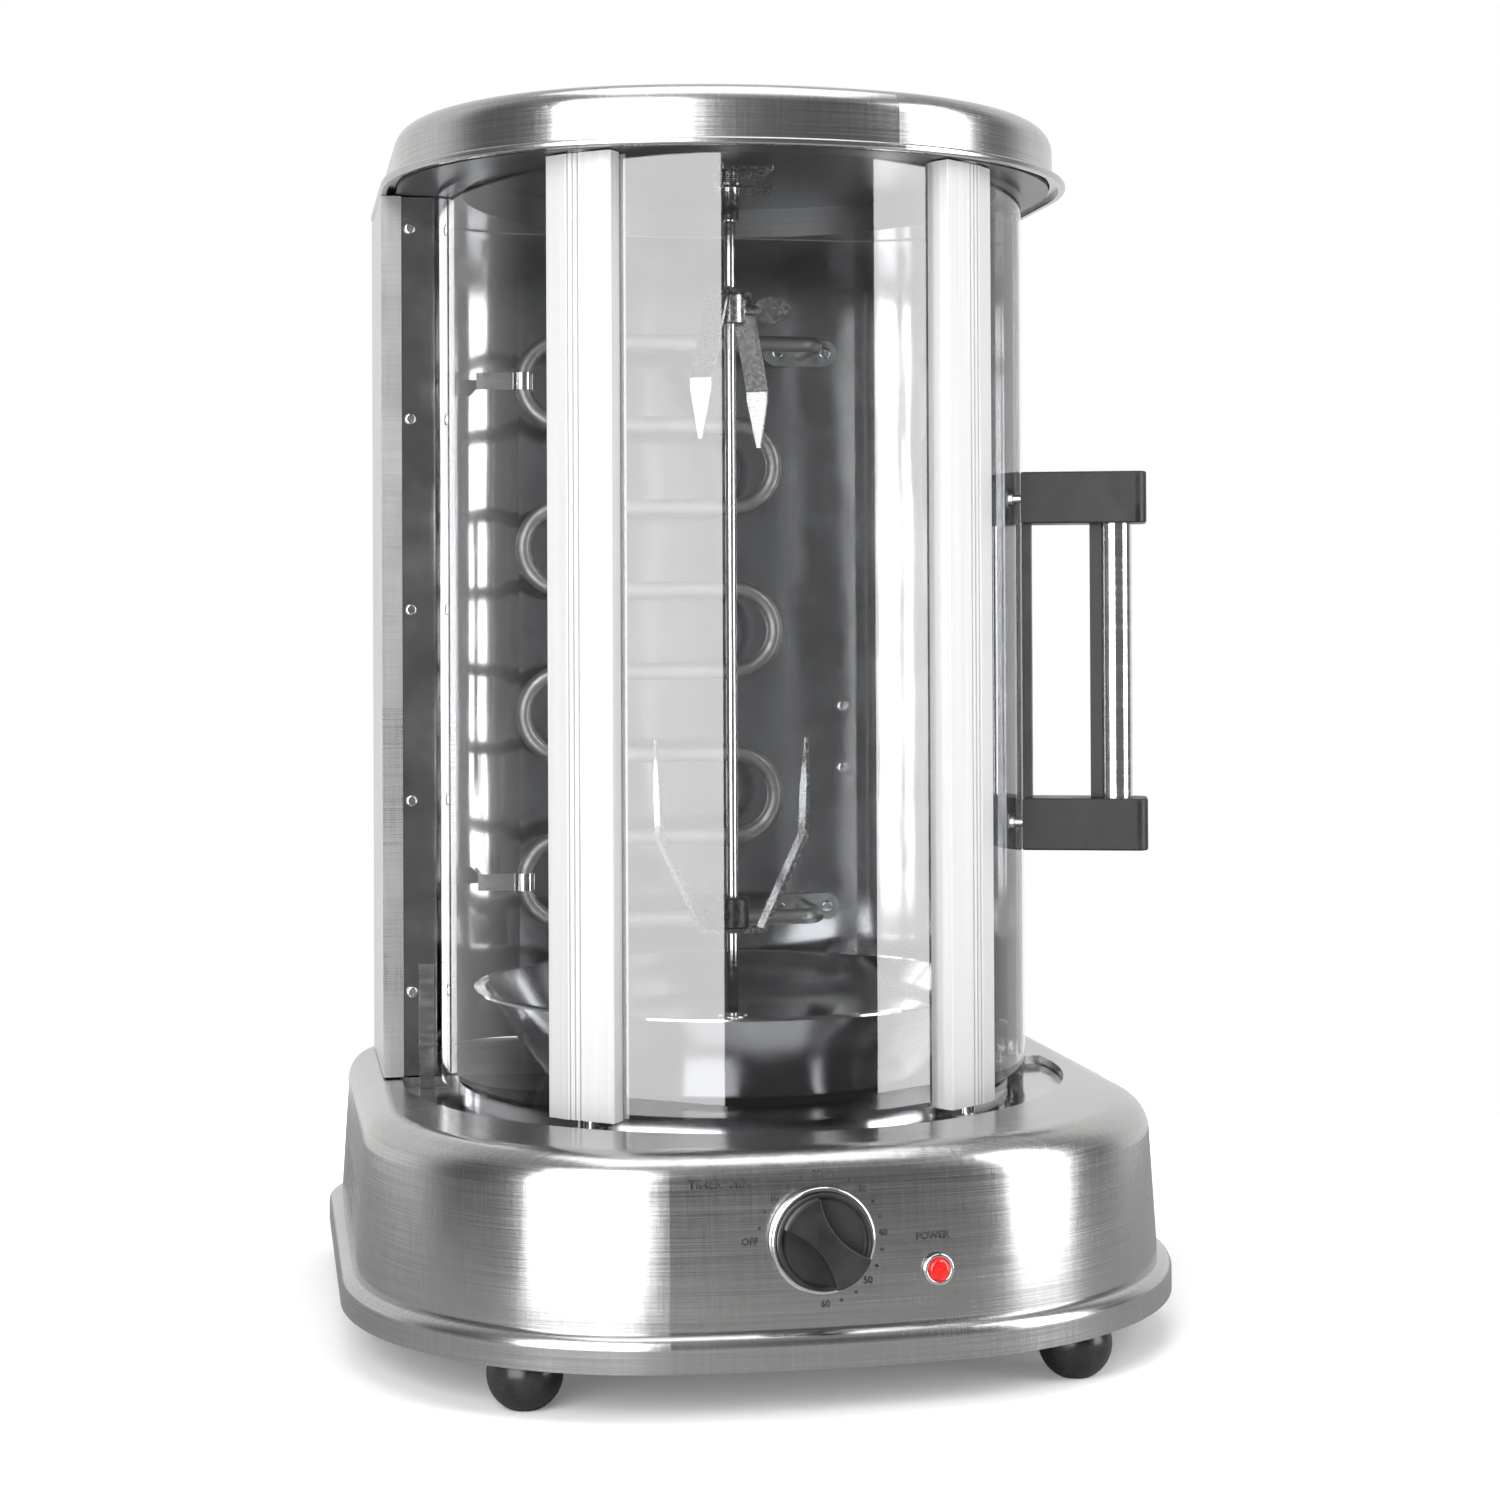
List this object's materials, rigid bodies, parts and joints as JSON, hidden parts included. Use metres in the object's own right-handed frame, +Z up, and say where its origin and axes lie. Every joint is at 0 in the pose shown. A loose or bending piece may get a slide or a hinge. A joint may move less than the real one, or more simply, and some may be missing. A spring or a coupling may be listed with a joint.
{
  "type": "rotisserie oven",
  "caption": "Upright electric rotisserie oven: round glass drum with a hinged side door, turning spit with meat forks, drip bowl, rear heater and a timer on a steel base.",
  "frame": {"origin": "on the table, straight below the axis of the glass drum and the spit", "axes": "+Z up, -Y out of the front panel, +X to the door's side"},
  "size_m": [0.3588, 0.3468, 0.5241],
  "materials": {
    "brushed_shell": "brushed stainless steel, fine vertical grain at the front",
    "sheet": "plain sheet steel, satin",
    "polished": "polished stainless steel",
    "chrome": "bright plated",
    "bar_alu": "satin anodised extrusion",
    "glass": "clear toughened glass",
    "heater": "grey heater sheath",
    "cast_steel": "plain steel, satin",
    "dark_hub": "dark blued steel",
    "black_plastic": "black heat-proof plastic, satin",
    "black_rubber": "black rubber",
    "red_lens": "clear red lamp lens",
    "spring": "spring steel",
    "galvanised": "zinc-plated steel",
    "bush": "sintered bronze bush"
  },
  "bodies": {
    "oven": {"base_shell": "brushed_shell", "bottom_plate": "galvanised", "bottom_plate_screws": "chrome", "feet": "black_rubber", "foot_screws": "galvanised", "floor_pan": "polished", "bar_bushes": "bush", "ceiling_plate": "sheet", "lid": "brushed_shell", "lid_screws": "chrome", "rear_housing": "sheet", "reflector": "polished", "reflector_screws": "chrome", "corner_bracket": "chrome", "heater_element": "heater", "heater_flanges": "galvanised", "heater_flange_screws": "chrome", "heater_clamps": "chrome", "front_glass": "glass", "left_glass": "glass", "left_bar": "bar_alu", "left_bar_pins": "chrome", "door_catch": "chrome", "drive_motor": "galvanised", "motor_bracket": "galvanised", "motor_screws": "galvanised", "drive_bush": "bush", "top_bearing_bracket": "cast_steel", "bearing_spring": "spring", "timer_body": "galvanised", "timer_bezel": "chrome", "lamp_bezel": "chrome", "lamp_lens": "red_lens", "lamp_body": "black_plastic", "cord_gland": "black_plastic", "thermostat": "galvanised", "thermostat_screws": "chrome"},
    "door": {"right_glass": "glass", "right_bar": "bar_alu", "right_bar_pins": "chrome", "handle_block_bottom": "black_plastic", "handle_block_top": "black_plastic", "handle_spine": "black_plastic", "handle_core": "black_plastic", "handle_tube": "chrome", "handle_screws": "chrome"},
    "spit": {"drive_socket": "chrome", "spit_rod": "chrome"},
    "lower_fork_body": {"lower_fork_hub": "dark_hub", "lower_fork": "cast_steel"},
    "lower_screw_body": {"lower_thumbscrew": "dark_hub"},
    "upper_fork_body": {"upper_fork_hub": "cast_steel", "upper_fork": "cast_steel"},
    "upper_screw_body": {"upper_thumbscrew": "cast_steel"},
    "bowl": {"drip_bowl": "polished"},
    "plunger": {"bearing_plunger": "chrome"},
    "timer": {"timer_knob": "black_plastic", "timer_shaft": "galvanised"}
  },
  "joints": [
    {"name": "door_hinge", "type": "hinge", "parent": "oven", "child": "door", "pos_m": [0.08064, -0.10702, 0.3], "axis": [0, 0, -1], "range_deg": [0, 95]},
    {"name": "spit_spin", "type": "hinge", "parent": "oven", "child": "spit", "pos_m": [0, 0, 0.3], "axis": [0, 0, 1], "continuous": true},
    {"name": "lower_fork_slide", "type": "slide", "parent": "spit", "child": "lower_fork_body", "axis": [0, 0, 1], "range_m": [-0.018, 0.08]},
    {"name": "lower_screw_turn", "type": "hinge", "parent": "lower_fork_body", "child": "lower_screw_body", "pos_m": [-0.00616, -0.00788, 0.172], "axis": [-0.6157, -0.788, 0], "range_deg": [-360, 0]},
    {"name": "upper_fork_slide", "type": "slide", "parent": "spit", "child": "upper_fork_body", "axis": [0, 0, 1], "range_m": [-0.05, 0.02]},
    {"name": "upper_screw_turn", "type": "hinge", "parent": "upper_fork_body", "child": "upper_screw_body", "pos_m": [0.01, 0, 0.446], "axis": [1, 0, 0], "range_deg": [-360, 0]},
    {"name": "bowl_lift", "type": "slide", "parent": "oven", "child": "bowl", "axis": [0, 0, 1], "range_m": [0, 0.012]},
    {"name": "plunger_lift", "type": "slide", "parent": "oven", "child": "plunger", "axis": [0, 0, 1], "range_m": [0, 0.0045], "stiffness_N_per_m": 400, "springref_m": -0.004, "deforming": ["bearing_spring"]},
    {"name": "timer_turn", "type": "hinge", "parent": "oven", "child": "timer", "pos_m": [0, -0.18895, 0.0665], "axis": [0, -0.9981, 0.061], "range_deg": [-213, 57]}
  ]
}
